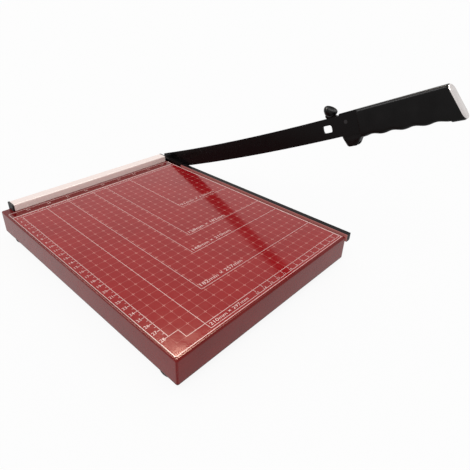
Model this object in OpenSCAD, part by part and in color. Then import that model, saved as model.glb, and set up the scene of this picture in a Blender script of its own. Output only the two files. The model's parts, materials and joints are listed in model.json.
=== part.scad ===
// Guillotine paper cutter: a pressed steel bed with a fixed counter blade along its right
// side, and a curved blade arm that swings on a bolt at the right rear corner.
// The origin is the middle of the bed's upper face, on which the sheets lie. X runs across
// the bed towards the cut, Y runs along the cut from the grip to the pivot, and Z is up.
// The arm's own parts are drawn in an arm frame: u runs forwards from the pivot along the
// blade, v is square to it, and the arm is then raised about the pivot bolt.

/* [Bed] */
// Width of the bed, across the cut
bed_w = 244; // [200:1:340]
// Depth of the bed, along the cut
bed_d = 315; // [290:1:420]
// Height of the bed's folded sides
bed_h = 26.5; // [24:0.5:40]
// Thickness of the bed's steel sheet
sheet_t = 1.2; // [0.8:0.1:1.5]
// Radius of the folds and upright corners
fold_r = 1.8; // [1.6:0.1:2.4]
// Thickness of the printed film on the bed
film_t = 0.3; // [0.2:0.05:0.5]
// Bare margin around the printed film
film_margin = 2.4; // [2:0.1:6]

/* [Feet] */
// Radius of each rubber foot
foot_r = 15.5; // [12:0.5:15.5]
// How far the feet stand below the bed's sides
foot_drop = 8; // [5:0.5:14]
// Distance of each foot's centre from the bed's side
foot_inset_x = 17; // [16.5:0.5:30]
// Distance of each foot's centre from the bed's front or rear
foot_inset_y = 21; // [19.5:0.5:30]

/* [Paper fence] */
// Height of the fence above the bed
fence_h = 8; // [6:0.5:12]
// Distance of the fence's face from the rear of the bed
fence_inset = 12; // [10:0.5:20]
// Thickness of the fence's aluminium wall
fence_t = 1.6; // [1.2:0.1:2]
// Bare bed left of the fence
fence_gap_left = 10; // [4:1:40]
// Bare bed right of the fence
fence_gap_right = 2; // [1:0.5:10]

/* [Counter blade] */
// Width of the counter blade, from the bed's side to the cut
bar_w = 7.7; // [7:0.1:10]
// Height of the counter blade's edge above the bed
bar_rise = 2; // [0.5:0.1:2.5]
// Depth of the counter blade below the bed
bar_drop = 7; // [7:0.1:7.5]

/* [Blade arm] */
// Angle at which the arm stands raised
raise = 23.5; // [5:0.5:45]
// Thickness of the blade
blade_t = 2; // [1.6:0.1:2.5]
// Distance of the blade's cutting edge below the pivot line, at mid length
blade_below = 12.8; // [12:0.1:14]
// Distance of the blade's back above the pivot line, at mid length
blade_above = 9.5; // [9:0.1:11]
// Radius of the curved cutting edge
edge_r = 3400; // [3000:50:6000]
// Radius of the curved back
back_r = 3600; // [3000:50:6000]
// Length of the blade behind the pivot
heel_l = 16; // [13:0.5:18]
// Distance of the pivot from the rear of the bed
pivot_inset = 15; // [13:0.5:20]
// Distance of the pivot below the bed's upper face
pivot_drop = 2.8; // [2:0.1:4]
// Radius of the pivot bolt's shoulder
pivot_r = 4; // [3.5:0.1:5]

/* [Grip] */
// How far the grip's front end laps over the bed when the arm is shut
grip_lap = 8.5; // [7:0.5:9]
// Length of the grip along its top
grip_l = 104; // [95:1:130]
// Thickness of the grip's left shell
grip_left_t = 4; // [3.6:0.1:6]
// Thickness of the grip's right shell
grip_right_t = 9; // [8.6:0.1:12]
// Height of the grip's front top edge above the pivot line
grip_top = 13; // [12:0.5:16]
// Depth of the grip's belly below the pivot line
grip_belly = 13.4; // [13:0.2:15]
// Depth of the finger grooves
groove_depth = 2.4; // [1:0.2:3]
// Depth of the finger guard below the pivot line
guard_depth = 22; // [21:0.2:22.4]

/* [Safety catch] */
// Radius of the thumb knob
knob_r = 7.2; // [6:0.2:7.4]
// Tilt of the thumb knob's face above the blade's line
knob_tilt = 50; // [40:1:60]
// Thickness of the catch lever
lever_t = 4; // [3:0.1:4]

/* [Fits] */
// Gap between the blade and the counter blade
cut_gap = 0.2; // [0.1:0.05:0.3]
// Radial play of the blade on its pivot bolt
pivot_play = 0.05; // [0.02:0.01:0.1]
// Radial play of the catch lever on its pin
pin_play = 0.06; // [0.02:0.01:0.1]
// Side play of the catch lever in its slot
slot_play = 0.2; // [0.1:0.05:0.3]
// Radial play of a screw in its tapped hole
thread_play = 0.05; // [0.02:0.01:0.1]
// Radial play of a screw in its clearance hole
hole_play = 0.2; // [0.1:0.05:0.4]

/* [Hidden] */
$fn = 64;

// Bed
shell_top = -film_t;
shell_under = shell_top - sheet_t;
shell_foot = shell_top - bed_h;
front_y = -bed_d / 2;
rear_y = bed_d / 2;
side_x = bed_w / 2;
wall_x = side_x - sheet_t;

// Screws: small ones hold the counter blade, fence and keeper, larger ones the rest
small_r = 1.5;
small_head_r = 2.75;
small_head_h = 1.8;
large_r = 2;
large_head_r = 3.8;
large_head_h = 2.6;

// Stiffening channels and feet
channel_w = 36;
channel_foot = shell_foot + 0.5;
channel_gap = 1.3;
channel_flange = 8;
channel_y = rear_y - foot_inset_y;
foot_x = side_x - foot_inset_x;
foot_bottom = shell_foot - foot_drop;
foot_h = channel_foot - foot_bottom;
foot_taper = 1.2;
foot_recess_r = 6;
foot_recess_h = 3.4;

// Paper fence
fence_y = rear_y - fence_inset;
fence_rear = rear_y + fence_t;
film_fence_gap = 0.3;
film_y0 = front_y + film_margin;
film_y1 = fence_y - film_fence_gap;
fence_leg = 8.5;
fence_corner_r = 1.5;
cap_t = 2;
fence_x0 = -side_x + fence_gap_left + cap_t;
fence_x1 = side_x - fence_gap_right - cap_t;
fence_screw_z = -5.4;
fence_screw_n = 4;

// Counter blade and pivot block share the plane of the cut
cut_x = side_x + bar_w;
bar_nose = 1;
bar_corner_r = 1.8;
bar_screw_z = shell_under - 3;
bar_screw_depth = 6;
bar_screw_n = 5;
block_l = 43;
block_y0 = rear_y - block_l;
block_top = 3.2;
block_foot = shell_foot + 2;
block_corner_r = 3;
block_screw_z = shell_foot + 9;
block_screw_depth = 6.2;

// Pivot, with the blade held against the counter blade by a coil spring
pivot_y = rear_y - pivot_inset;
pivot_z = -pivot_drop;
blade_x = cut_x + cut_gap;
blade_x1 = blade_x + blade_t;
pivot_thread_r = 3;
washer_gap = 0.1;
washer_x = blade_x1 + washer_gap;
washer_t = 1.2;
washer_r = 8.5;
spring_x = washer_x + washer_t;
spring_l = 7;
spring_r = 5.8;
wire_r = 0.8;
spring_turns = 3;
bolt_head_x = spring_x + spring_l;
bolt_head_r = 7.5;
bolt_head_h = 4.5;

// Blade outline along u, from the pivot
edge_mid = (bed_d - pivot_inset) * 0.53;
back_mid = (bed_d - pivot_inset) * 0.6;
bevel_h = 1.8;
bevel_land = 0.5;
grip_u = bed_d - pivot_inset - grip_lap;
blade_end = grip_u + 20.5;
tang_l = 60;
tang_v = 7;
tang_fit = 0.05;
window_w = 10.5;
window_h = 7.5;
window_u = grip_u - 14.5;
window_r = 2;

// Grip
grip_split = blade_x1;
grip_x0 = grip_split - grip_left_t;
grip_x1 = grip_split + grip_right_t;
shell_inset = 1.8;
shell_step = 1.6;
grip_slope = 0.034;
grip_end_lean = 0.31;
grooves = 4;
groove_u0 = grip_u + 21.5;
collar_l = 14;
collar_depth = grip_belly + 1.8;
groove_pitch = (grip_l - 21.5 - collar_l + grip_end_lean * 28) / grooves;
left_u0 = blade_end + 0.2;
guard_u0 = grip_u + 1;
guard_u1 = grip_u + 18;
grip_screw_u = [grip_u + 31, grip_u + 52, grip_u + 73];

// Oval end cap, set square to the leaning end of the grip
end_cap_w = 9.6;
end_cap_l = 30;
end_cap_t = 1.2;
end_cap_lap = 1.2;
end_cap_sunk = 1.4;
end_cap_cut = 4;
end_angle = atan(grip_end_lean);

// Safety catch: a lever on a pin across the grip's front end, with a hook that swings
// under the keeper when the arm is shut
pin_u = grip_u + 7.5;
pin_v = 4;
pin_r = 2;
lever_x = grip_split + 2 + slot_play;
hub_r = 5;
knob_u = grip_u - 10.3;
knob_v = 17.4;
knob_back = 6;
knob_seat = 1.6;
stem_play = 0.05;
tail_w = 5;
stem_end = [knob_u - knob_back * cos(knob_tilt), knob_v - knob_back * sin(knob_tilt)];
hook_top = -22;
hook_h = 3.4;
hook_reach = 3.6;
hook_heel = 4.4;
slot_u1 = grip_u + 15.6;
keeper_t = 1.6;
keeper_l = 13;
keeper_y0 = pivot_y - grip_u + 0.6;
keeper_top = -17.6;
keeper_out = lever_x + lever_t + 1;
keeper_foot = shell_foot + 0.8;
keeper_screw_z = shell_foot + 4.7;

// ---------- shapes that several parts share ----------

// A profile in (y, z), run along X from x0 to x1
module along_x(x0, x1) {
    translate([x0, 0, 0]) rotate([90, 0, 90]) linear_extrude(x1 - x0) children();
}

// A profile in (x, z), run along Y from y0 to y1
module along_y(y0, y1) {
    translate([0, y1, 0]) rotate([90, 0, 0]) linear_extrude(y1 - y0) children();
}

// A profile in the arm's (u, v), run along X from x0 to x1
module arm_plate(x0, x1) {
    translate([x1, 0, 0]) rotate([90, 0, -90]) linear_extrude(x1 - x0) children();
}

// A cylinder on the arm, lying along X at (u, v)
module arm_rod(u, v, r, x0, x1) {
    translate([x0, -u, v]) rotate([0, 90, 0]) cylinder(r = r, h = x1 - x0);
}

// Carries the arm's parts to the pivot and raises them
module raised() {
    translate([0, pivot_y, pivot_z]) rotate([-raise, 0, 0]) children();
}

// A rectangle with round corners, centred
module rounded_rect(w, d, r) {
    square([w - 2 * r, d], center = true);
    square([w, d - 2 * r], center = true);
    for (x = [-1, 1], y = [-1, 1])
        translate([x * (w / 2 - r), y * (d / 2 - r)]) circle(r = r);
}

// A profile of width w, with its top at 0 and two round top corners
module rounded_top(w, h, r) {
    translate([-w / 2, -h]) square([w, h - r]);
    translate([-w / 2 + r, -h]) square([w - 2 * r, h]);
    for (x = [-1, 1])
        translate([x * (w / 2 - r), -r]) circle(r = r);
}

// A block with its top at 0, round along its top edges and upright corners
module pressed_block(w, d, h, r) {
    intersection() {
        along_y(-d / 2, d / 2) rounded_top(w, h, r);
        along_x(-w / 2, w / 2) rounded_top(d, h, r);
        translate([0, 0, -h]) linear_extrude(h) rounded_rect(w, d, r);
    }
}

// A pan-head screw: its head below z = 0 and its shank above
module pan_screw(r, length, head_r, head_h) {
    difference() {
        translate([0, 0, -head_h]) cylinder(r = head_r, h = head_h);
        translate([0, 0, -head_h - 1]) linear_extrude(1 + head_h * 0.5)
            for (a = [0, 90]) rotate(a) square([head_r * 1.1, head_r * 0.24], center = true);
    }
    cylinder(r = r - thread_play, h = length);
}

module small_screw(length) {
    pan_screw(small_r, length, small_head_r, small_head_h);
}

module large_screw(length) {
    pan_screw(large_r, length, large_head_r, large_head_h);
}

// ---------- bed ----------

bar_screw_y = [for (i = [0 : bar_screw_n - 1])
    front_y + 12.5 + i * (block_y0 - front_y - 25) / (bar_screw_n - 1)];
block_screw_y = [block_y0 + 13, rear_y - 10];
keeper_screw_y = [keeper_y0 + 3.4, keeper_y0 + keeper_l - 3.4];
fence_screw_x = [for (i = [0 : fence_screw_n - 1])
    fence_x0 + 14 + i * (fence_x1 - fence_x0 - 28) / (fence_screw_n - 1)];

// Clearance holes along X through the bed's right wall
module right_wall_holes(ys, z, r) {
    for (y = ys)
        translate([wall_x - 1, y, z]) rotate([0, 90, 0])
            cylinder(r = r + hole_play, h = sheet_t + 2);
}

module base_shell() {
    color([0.50, 0.05, 0.08]) difference() {
        translate([0, 0, shell_top]) pressed_block(bed_w, bed_d, bed_h, fold_r);
        translate([0, 0, shell_under])
            pressed_block(bed_w - 2 * sheet_t, bed_d - 2 * sheet_t, bed_h,
                          fold_r - sheet_t + 0.2);
        right_wall_holes(bar_screw_y, bar_screw_z, small_r);
        right_wall_holes(block_screw_y, block_screw_z, large_r);
        right_wall_holes(keeper_screw_y, keeper_screw_z, small_r);
        for (x = fence_screw_x)
            translate([x, rear_y - sheet_t - 1, fence_screw_z]) rotate([-90, 0, 0])
                cylinder(r = small_r, h = sheet_t + 2);
    }
}

module grid_film() {
    color([0.62, 0.06, 0.10])
        translate([0, (film_y0 + film_y1) / 2, shell_top]) linear_extrude(film_t)
            rounded_rect(bed_w - 2 * film_margin, film_y1 - film_y0, 1.5);
}

// Upturned channel under the bed: its webs meet the bed, its floor carries two feet.
// side is 1 for the rear channel and -1 for the front one.
module channel(side) {
    x1 = wall_x - channel_gap;
    web_h = shell_under - channel_foot;
    color([0.25, 0.25, 0.27]) difference() {
        translate([0, side * channel_y, 0]) {
            along_x(-x1, x1) difference() {
                translate([-channel_w / 2, channel_foot]) square([channel_w, web_h]);
                translate([-channel_w / 2 + sheet_t, channel_foot + sheet_t])
                    square([channel_w - 2 * sheet_t, web_h]);
            }
            along_x(-x1, x1)
                translate([-side * (channel_w / 2 + channel_flange / 2) - channel_flange / 2,
                           shell_under - sheet_t])
                    square([channel_flange, sheet_t]);
        }
        for (x = [-1, 1])
            translate([x * foot_x, side * channel_y, channel_foot - 1])
                cylinder(r = large_r, h = sheet_t + 2);
    }
}

module front_channel() {
    channel(-1);
}

module rear_channel() {
    difference() {
        channel(1);
        for (x = fence_screw_x)
            translate([x, rear_y, fence_screw_z]) rotate([90, 0, 0])
                cylinder(r = small_r + hole_play, h = channel_w / 3);
    }
}

// Rubber foot, tapered, with a recess for its screw's head
module foot(sx, sy) {
    color([0.06, 0.06, 0.06])
        translate([sx * foot_x, sy * channel_y, foot_bottom]) difference() {
            rotate_extrude() polygon([
                [0, 0], [foot_r - foot_taper - 1, 0], [foot_r - foot_taper, 1],
                [foot_r, foot_h - 1], [foot_r - 0.6, foot_h], [0, foot_h]
            ]);
            translate([0, 0, -1]) cylinder(r = foot_recess_r, h = foot_recess_h + 1);
            cylinder(r = large_r + hole_play, h = foot_h + 1);
        }
}

module foot_screws() {
    color([0.7, 0.7, 0.72])
        for (x = [-1, 1], y = [-1, 1])
            translate([x * foot_x, y * channel_y, foot_bottom + foot_recess_h])
                large_screw(foot_h - foot_recess_h + sheet_t + 1.6);
}

// ---------- paper fence ----------

// Outer outline of the fence in (y, z): it stands on the bed and hangs over the rear wall
module fence_outline() {
    r = fence_corner_r;
    difference() {
        union() {
            translate([fence_y, -fence_leg]) square([fence_rear - fence_y, fence_leg + fence_h - r]);
            translate([fence_y + r, 0]) square([fence_rear - fence_y - r, fence_h]);
            translate([fence_y + r, fence_h - r]) circle(r = r);
        }
        translate([fence_y - 1, -fence_leg - 1]) square([rear_y - fence_y + 1, fence_leg + 1]);
    }
}

module paper_fence() {
    color([0.86, 0.86, 0.85]) difference() {
        along_x(fence_x0, fence_x1) difference() {
            fence_outline();
            translate([fence_y + fence_t, -1])
                square([fence_rear - fence_y - 2 * fence_t, fence_h - fence_t + 1]);
        }
        for (x = fence_screw_x)
            translate([x, rear_y - 1, fence_screw_z]) rotate([-90, 0, 0])
                cylinder(r = small_r + hole_play, h = fence_t + 2);
    }
}

module fence_cap_left() {
    color([0.05, 0.05, 0.05]) along_x(fence_x0 - cap_t, fence_x0) fence_outline();
}

module fence_cap_right() {
    color([0.05, 0.05, 0.05]) along_x(fence_x1, fence_x1 + cap_t) fence_outline();
}

module fence_screws() {
    color([0.7, 0.7, 0.72])
        for (x = fence_screw_x)
            translate([x, fence_rear, fence_screw_z]) rotate([90, 0, 0])
                small_screw(fence_t + sheet_t + 3);
}

// ---------- counter blade and pivot ----------

module counter_blade() {
    r = bar_corner_r;
    color([0.12, 0.12, 0.13]) difference() {
        along_y(front_y - bar_nose, block_y0 - 0.1) {
            translate([side_x, -bar_drop + r]) square([bar_w, bar_drop + bar_rise - r]);
            translate([side_x + r, -bar_drop]) square([bar_w - 2 * r, r]);
            for (x = [side_x + r, cut_x - r])
                translate([x, -bar_drop + r]) circle(r = r);
        }
        for (y = bar_screw_y)
            translate([side_x - 1, y, bar_screw_z]) rotate([0, 90, 0])
                cylinder(r = small_r, h = bar_screw_depth + 1);
    }
}

module counter_blade_screws() {
    color([0.7, 0.7, 0.72])
        for (y = bar_screw_y)
            translate([wall_x, y, bar_screw_z]) rotate([0, 90, 0])
                small_screw(sheet_t + bar_screw_depth - 0.5);
}

module pivot_block() {
    color([0.10, 0.10, 0.11]) difference() {
        along_x(side_x, cut_x)
            translate([(block_y0 + rear_y) / 2, (block_foot + block_top) / 2])
                rounded_rect(block_l, block_top - block_foot, block_corner_r);
        translate([side_x - 1, pivot_y, pivot_z]) rotate([0, 90, 0])
            cylinder(r = pivot_thread_r, h = bar_w + 2);
        for (y = block_screw_y)
            translate([side_x - 1, y, block_screw_z]) rotate([0, 90, 0])
                cylinder(r = large_r, h = block_screw_depth + 1);
    }
}

module pivot_block_screws() {
    color([0.7, 0.7, 0.72])
        for (y = block_screw_y)
            translate([wall_x, y, block_screw_z]) rotate([0, 90, 0])
                large_screw(sheet_t + block_screw_depth - 0.5);
}

// Shoulder bolt: its thread is in the block and its shoulder carries the blade and spring
module pivot_bolt() {
    color([0.65, 0.65, 0.68])
        translate([0, pivot_y, pivot_z]) rotate([0, 90, 0]) {
            translate([0, 0, side_x + 0.5])
                cylinder(r = pivot_thread_r - thread_play, h = bar_w - 0.5);
            translate([0, 0, cut_x]) cylinder(r = pivot_r, h = bolt_head_x - cut_x);
            difference() {
                translate([0, 0, bolt_head_x]) rotate_extrude() polygon([
                    [0, 0], [bolt_head_r, 0], [bolt_head_r, bolt_head_h * 0.6],
                    [bolt_head_r * 0.7, bolt_head_h], [0, bolt_head_h]
                ]);
                translate([0, 0, bolt_head_x + bolt_head_h - 2.5])
                    cylinder(r = 2.9, h = 3, $fn = 6);
            }
        }
}

module pivot_washer() {
    color([0.6, 0.6, 0.62])
        translate([washer_x, pivot_y, pivot_z]) rotate([0, 90, 0]) difference() {
            cylinder(r = washer_r, h = washer_t);
            translate([0, 0, -1]) cylinder(r = pivot_r + hole_play, h = washer_t + 2);
        }
}

// Height of the spring's wire along its axis: the first and last half turns lie flat
function coil_z(a) =
    let (flat = 180, whole = spring_turns * 360, rise = spring_l - 2 * wire_r)
    wire_r + rise * min(1, max(0, (a - flat) / (whole - 2 * flat)));

module pivot_spring() {
    sides = 8;
    step = 18;
    rings = spring_turns * 360 / step + 1;
    points = [for (i = [0 : rings - 1], j = [0 : sides - 1])
        let (a = i * step, b = j * 360 / sides, r = spring_r + wire_r * cos(b))
        [r * cos(a), r * sin(a), coil_z(a) + wire_r * sin(b)]];
    walls = [for (i = [0 : rings - 2], j = [0 : sides - 1])
        let (k = (j + 1) % sides)
        [i * sides + j, i * sides + k, (i + 1) * sides + k, (i + 1) * sides + j]];
    first = [for (j = [sides - 1 : -1 : 0]) j];
    last = [for (j = [0 : sides - 1]) (rings - 1) * sides + j];
    color([0.75, 0.75, 0.78])
        translate([spring_x, pivot_y, pivot_z]) rotate([0, 90, 0])
            polyhedron(points = points, faces = concat(walls, [first, last]), convexity = 6);
}

// ---------- keeper of the safety catch ----------

module catch_keeper() {
    color([0.6, 0.6, 0.62]) difference() {
        along_y(keeper_y0, keeper_y0 + keeper_l) {
            translate([side_x, keeper_foot]) square([keeper_t, keeper_top - keeper_foot]);
            translate([side_x, keeper_top - keeper_t]) square([keeper_out - side_x, keeper_t]);
        }
        for (y = keeper_screw_y)
            translate([side_x - 1, y, keeper_screw_z]) rotate([0, 90, 0])
                cylinder(r = small_r, h = keeper_t + 2);
    }
}

module keeper_screws() {
    color([0.7, 0.7, 0.72])
        for (y = keeper_screw_y)
            translate([wall_x, y, keeper_screw_z]) rotate([0, 90, 0])
                small_screw(sheet_t + keeper_t + 0.8);
}

// ---------- blade ----------

// The blade's back arc, its heel and its tang; the cutting edge is ground on afterwards
module blade_outline() {
    difference() {
        union() {
            translate([(blade_end - heel_l) / 2, 1])
                rounded_rect(blade_end + heel_l, 2 * blade_below + 6, 5);
            translate([blade_end - 6, -blade_below - 2])
                square([6, 2 * blade_below + 6]);
            translate([blade_end - 1, -tang_v]) square([tang_l, 2 * tang_v]);
        }
        translate([back_mid, back_r + blade_above]) circle(r = back_r, $fn = 720);
        translate([window_u, 0]) rounded_rect(window_w, window_h, window_r);
        for (u = grip_screw_u)
            translate([u, 0]) circle(r = large_r + hole_play);
        translate([pin_u, pin_v]) circle(r = pin_r);
        circle(r = pivot_r + pivot_play);
    }
}

// A wide disc whose rim is the curved cutting edge, bevelled towards the right side
module edge_disc() {
    translate([edge_mid, edge_r - blade_below, 0])
        rotate_extrude($fn = 720) polygon([
            [0, 0], [edge_r - bevel_h, 0], [edge_r, blade_t - bevel_land],
            [edge_r, blade_t], [0, blade_t]
        ]);
}

module blade() {
    color([0.10, 0.10, 0.11]) raised()
        translate([blade_x1, 0, 0]) rotate([90, 0, -90]) intersection() {
            linear_extrude(blade_t) blade_outline();
            edge_disc();
        }
}

// ---------- grip ----------

// Height of the grip's top edge at u
function grip_top_v(u) = grip_top + grip_slope * (u - grip_u);

// Depth of the grip's belly at u, with a groove for each finger
function grip_belly_v(u) =
    -grip_belly + groove_depth * (1 - cos(360 * (u - groove_u0) / groove_pitch)) / 2;

// The leaning end of the grip at height v
function grip_end_u(v) = grip_u + grip_l + grip_end_lean * (grip_top_v(grip_u + grip_l) - v);

// Side outline of the grip from u0 to its end, drawn in by the inset e
module grip_outline(u0, e) {
    belly_end = groove_u0 + grooves * groove_pitch;
    steps = grooves * 10;
    polygon(concat(
        [
            [u0 + e, grip_top_v(u0) - e],
            [grip_end_u(grip_top_v(grip_u + grip_l)) - e, grip_top_v(grip_u + grip_l) - e],
            [grip_end_u(-collar_depth) - e, -collar_depth + e],
            [belly_end + 1, -collar_depth + e],
            [belly_end, -grip_belly + e]
        ],
        [for (i = [steps : -1 : 0])
            let (u = groove_u0 + i * (belly_end - groove_u0) / steps)
            [max(u, u0 + e), grip_belly_v(u) + e]],
        [[u0 + e, -grip_belly + e]]
    ));
}

// Finger guard that hangs under the grip's front end
module guard_outline() {
    polygon([
        [guard_u0, -8], [guard_u0 + 1.6, -guard_depth + 1.4], [guard_u0 + 3, -guard_depth],
        [guard_u0 + 11, -guard_depth], [guard_u0 + 12.6, -guard_depth + 1.2],
        [guard_u1, -grip_belly], [guard_u1, -8]
    ]);
}

// An oval on the grip's leaning end, from z0 off the end's face, as thick as t
module end_cap_solid(w, l, z0, t) {
    v = (grip_top_v(grip_u + grip_l) - collar_depth) / 2;
    translate([(grip_x0 + grip_x1) / 2, -grip_end_u(v), v])
        rotate([90 - end_angle, 0, 0]) translate([0, 0, z0]) linear_extrude(t) {
            square([w, l - w], center = true);
            for (y = [-1, 1])
                translate([0, y * (l - w) / 2]) circle(r = w / 2);
        }
}

// The pocket that the cap's plug fills
module end_cap_pocket() {
    end_cap_solid(end_cap_w + 2 * tang_fit, end_cap_l + 2 * tang_fit, -end_cap_sunk, end_cap_cut);
}

module grip_screw_holes(r, x0, x1) {
    for (u = grip_screw_u) arm_rod(u, 0, r, x0, x1);
}

module grip_left() {
    color([0.04, 0.04, 0.045]) raised() difference() {
        union() {
            arm_plate(grip_x0 + shell_step, grip_split) grip_outline(left_u0, 0);
            arm_plate(grip_x0, grip_x0 + shell_step) grip_outline(left_u0, shell_inset);
        }
        arm_plate(blade_x - tang_fit, grip_split + 1)
            translate([left_u0 - 1, -tang_v - tang_fit])
                square([tang_l + 1, 2 * (tang_v + tang_fit)]);
        grip_screw_holes(large_r, grip_x0 + shell_step - 0.6, grip_split + 1);
        end_cap_pocket();
    }
}

module grip_right() {
    color([0.04, 0.04, 0.045]) raised() difference() {
        union() {
            arm_plate(grip_split, grip_x1 - shell_step) {
                grip_outline(grip_u, 0);
                guard_outline();
            }
            arm_plate(grip_x1 - shell_step, grip_x1) {
                grip_outline(grip_u, shell_inset);
                guard_outline();
            }
        }
        arm_plate(lever_x - slot_play, lever_x + lever_t + slot_play)
            translate([grip_u - 1, -guard_depth - 1])
                square([slot_u1 - grip_u + 1, guard_depth + grip_top + 3]);
        arm_rod(pin_u, pin_v, pin_r, grip_split - 1, grip_x1 + 1);
        grip_screw_holes(large_r + hole_play, grip_split - 1, grip_x1 + 1);
        grip_screw_holes(large_head_r + 0.3, grip_x1 - 3, grip_x1 + 1);
        end_cap_pocket();
    }
}

module grip_screws() {
    head_x = grip_x1 - 3;
    color([0.7, 0.7, 0.72]) raised()
        for (u = grip_screw_u)
            translate([head_x, -u, 0]) rotate([0, -90, 0])
                large_screw(head_x - grip_x0 - shell_step);
}

// The cap's plug fills the pocket, and its rim laps over the shells' ends
module grip_end_cap() {
    color([0.72, 0.72, 0.72]) raised() {
        end_cap_solid(end_cap_w, end_cap_l, -end_cap_sunk, end_cap_sunk + end_cap_t);
        end_cap_solid(end_cap_w + 2 * end_cap_lap, end_cap_l + 2 * end_cap_lap, 0, end_cap_t);
    }
}

module catch_pin() {
    color([0.6, 0.6, 0.62]) raised()
        arm_rod(pin_u, pin_v, pin_r - thread_play, blade_x, grip_x1 - 0.4);
}

// ---------- safety catch ----------

// A straight limb of the lever between two points, with round ends
module limb(a, b, w) {
    d = b - a;
    translate(a) rotate(atan2(d[1], d[0])) translate([0, -w / 2]) square([norm(d), w]);
    translate(a) circle(r = w / 2);
    translate(b) circle(r = w / 2);
}

module lever_outline() {
    tail = [pin_u + 1.2, pin_v + hook_top - hook_h + tail_w / 2];
    difference() {
        union() {
            translate([pin_u, pin_v]) circle(r = hub_r);
            limb([pin_u, pin_v], tail, tail_w);
            limb([pin_u, pin_v], stem_end, tail_w);
            translate([pin_u - hook_reach, pin_v + hook_top - hook_h])
                square([hook_reach + hook_heel - 1, hook_h]);
        }
        translate([pin_u, pin_v]) circle(r = pin_r + pin_play);
    }
}

module catch_lever() {
    color([0.6, 0.6, 0.62]) raised() arm_plate(lever_x, lever_x + lever_t) lever_outline();
}

// Thumb knob with a dished face, turned about an axis that leans forwards and seated on the stem
module thumb_knob() {
    back = knob_back - knob_seat;
    color([0.05, 0.05, 0.055]) raised() difference() {
        translate([lever_x + lever_t / 2, -knob_u, knob_v]) rotate([90 - knob_tilt, 0, 0])
            rotate_extrude() polygon([
                [0, -back], [3.5, -back], [3.8, -2.6], [knob_r - 1.6, -1.7],
                [knob_r - 0.3, -0.4], [knob_r, 1], [knob_r - 0.1, 2.4],
                [knob_r - 0.7, 3.3], [knob_r - 1.5, 3.6], [knob_r - 2.4, 3.3], [0, 2.2]
            ]);
        arm_plate(lever_x - stem_play, lever_x + lever_t + stem_play)
            limb([pin_u, pin_v], stem_end, tail_w + 2 * stem_play);
    }
}

base_shell();
grid_film();
counter_blade();
counter_blade_screws();
front_channel();
rear_channel();
foot(-1, -1);  // foot_front_left
foot(1, -1);  // foot_front_right
foot(-1, 1);  // foot_rear_left
foot(1, 1);  // foot_rear_right
foot_screws();
paper_fence();
fence_cap_left();
fence_cap_right();
fence_screws();
pivot_block();
pivot_block_screws();
pivot_bolt();
pivot_washer();
pivot_spring();
catch_keeper();
keeper_screws();
blade();
grip_left();
grip_right();
grip_screws();
grip_end_cap();
catch_pin();
catch_lever();
thumb_knob();
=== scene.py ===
# %% [markdown]
# # A guillotine paper cutter, piece by piece
# The cutter is a shallow pressed-steel bed with a glossy red measuring sheet on it, a pale
# fence across the rear, and a black blade arm hinged at the rear right corner. This lesson
# takes the exact CAD pieces as a frame, keeps the ones whose shape is already right, and
# works out finer surfaces with numpy for the ones that need round edges.

# %% Load the frame
import json
import math

import bmesh
import bpy
import numpy as np
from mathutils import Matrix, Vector


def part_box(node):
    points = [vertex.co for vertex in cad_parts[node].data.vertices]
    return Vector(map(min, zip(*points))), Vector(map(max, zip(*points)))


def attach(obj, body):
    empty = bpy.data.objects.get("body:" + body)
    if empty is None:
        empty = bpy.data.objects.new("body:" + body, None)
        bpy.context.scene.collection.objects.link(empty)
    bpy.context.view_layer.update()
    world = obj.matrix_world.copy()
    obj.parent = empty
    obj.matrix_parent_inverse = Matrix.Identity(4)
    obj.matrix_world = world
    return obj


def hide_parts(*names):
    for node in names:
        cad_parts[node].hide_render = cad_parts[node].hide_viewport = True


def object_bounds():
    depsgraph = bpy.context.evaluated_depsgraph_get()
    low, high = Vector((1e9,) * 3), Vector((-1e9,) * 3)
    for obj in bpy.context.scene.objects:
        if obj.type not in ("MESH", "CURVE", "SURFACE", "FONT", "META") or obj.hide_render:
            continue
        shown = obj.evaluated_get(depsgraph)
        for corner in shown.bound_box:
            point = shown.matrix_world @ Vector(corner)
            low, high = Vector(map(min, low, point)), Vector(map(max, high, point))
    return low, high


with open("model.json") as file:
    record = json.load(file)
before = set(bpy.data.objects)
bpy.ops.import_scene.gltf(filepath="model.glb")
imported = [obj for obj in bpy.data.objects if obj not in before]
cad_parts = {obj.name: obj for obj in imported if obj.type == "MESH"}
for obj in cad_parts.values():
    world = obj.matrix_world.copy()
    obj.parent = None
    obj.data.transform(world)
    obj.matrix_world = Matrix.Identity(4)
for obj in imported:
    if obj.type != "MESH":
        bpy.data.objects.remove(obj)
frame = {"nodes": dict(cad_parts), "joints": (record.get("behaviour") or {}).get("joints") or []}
cad_low, cad_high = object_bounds()
MM = 0.001
print("CAD box in mm:", [round((b - a) / MM, 1) for a, b in zip(cad_low, cad_high)])

# %% [markdown]
# The camera comes first, because every later choice is judged through it. A camera is a
# place, a direction, a roll about its own axis and a focal length. The direction is built
# from a heading and a downward pitch, and a small lens shift puts the optical axis a little
# up and left of the picture's middle. FOCUS, the focal length, and AXIS are given in the
# units in which the square picture is PICTURE wide.

# %% Camera
CAMERA_PLACE = Vector((-257.2, -324.2, 241.9)) * MM
HEADING, PITCH, ROLL = math.radians(46.07), math.radians(29.25), math.radians(1.08)
SENSOR = 36.0
PICTURE, FOCUS, AXIS = 470, 419.1, (215.4, 214.8)
FOCAL = SENSOR * FOCUS / PICTURE

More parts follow.
